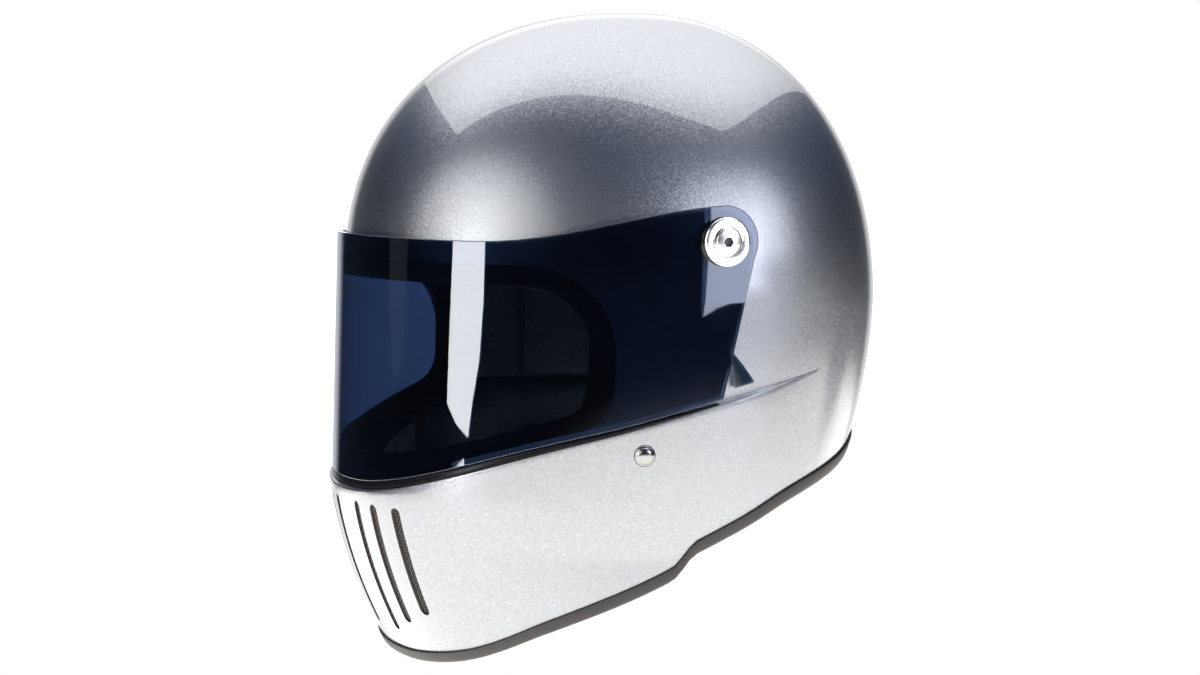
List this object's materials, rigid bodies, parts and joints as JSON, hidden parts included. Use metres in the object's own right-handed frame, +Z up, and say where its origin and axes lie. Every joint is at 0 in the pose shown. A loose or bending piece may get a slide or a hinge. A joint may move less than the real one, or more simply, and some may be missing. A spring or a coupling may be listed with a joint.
{
  "type": "full-face motorcycle helmet",
  "caption": "Full-face motorcycle helmet with a wide smoked visor that lifts on side pivots, a slotted chin bar, padded lining and a double D-ring strap.",
  "frame": {"origin": "on the surface the helmet stands on, at the middle of the plan of its bounding box", "axes": "+X to the wearer's left, +Y to the back (the face side is -Y), +Z up; the helmet stands on its chin and rear rim, leaned back"},
  "size_m": [0.2542, 0.3184, 0.2596],
  "materials": {
    "shell_lacquer": "metallic silver lacquer with coarse flake under a clear coat, on a glass-fibre shell",
    "smoke_visor": "smoked polycarbonate with a hard coat",
    "black_rubber": "satin black mouldings and gaskets",
    "rim_rubber": "matt dark grey edge rubber",
    "chrome": "polished chrome plate",
    "zinc_steel": "zinc-plated steel",
    "nylon": "natural nylon bearing bushes",
    "friction_plastic": "black acetal friction washers",
    "liner_foam": "expanded polystyrene foam, black",
    "lining": "charcoal brushed knit over soft foam",
    "webbing": "black woven polyamide webbing",
    "mesh": "black-coated expanded metal mesh"
  },
  "bodies": {
    "shell": {"outer_shell": "shell_lacquer", "crown_liner": "liner_foam", "chin_liner": "liner_foam", "cheek_block_left": "liner_foam", "cheek_block_right": "liner_foam", "cheek_pad_left": "lining", "cheek_pad_right": "lining", "crown_pad": "lining", "brow_pad": "lining", "nape_pad": "lining", "neck_roll": "lining", "vent_mesh": "mesh", "port_moulding": "black_rubber", "rim_rubber": "rim_rubber", "visor_gasket": "black_rubber", "pivot_screws": "chrome", "finishing_washers": "chrome", "pivot_bushes": "nylon", "friction_washers": "friction_plastic", "pivot_nuts": "zinc_steel", "strap_rivets": "chrome", "anchor_plates": "zinc_steel", "short_strap": "webbing", "long_strap": "webbing", "strap_sleeve": "lining", "snap_post": "chrome", "snap_socket": "chrome"},
    "visor": {"visor": "smoke_visor"},
    "ring_inner": {"ring_inner": "chrome"},
    "ring_outer": {"ring_outer": "chrome"}
  },
  "joints": [
    {"name": "visor_lift", "type": "hinge", "parent": "shell", "child": "visor", "pos_m": [0, 0.04103, 0.13999], "axis": [-1, 0, 0], "range_deg": [0, 60]},
    {"name": "outer_ring_swing", "type": "hinge", "parent": "shell", "child": "ring_outer", "pos_m": [0.07355, -0.02987, 0.033], "axis": [-0.1923, -0.9813, 0], "range_deg": [0, 70]},
    {"name": "inner_ring_swing", "type": "hinge", "parent": "shell", "child": "ring_inner", "pos_m": [0.06914, -0.02901, 0.033], "axis": [0.1923, 0.9813, 0], "range_deg": [0, 80]}
  ]
}
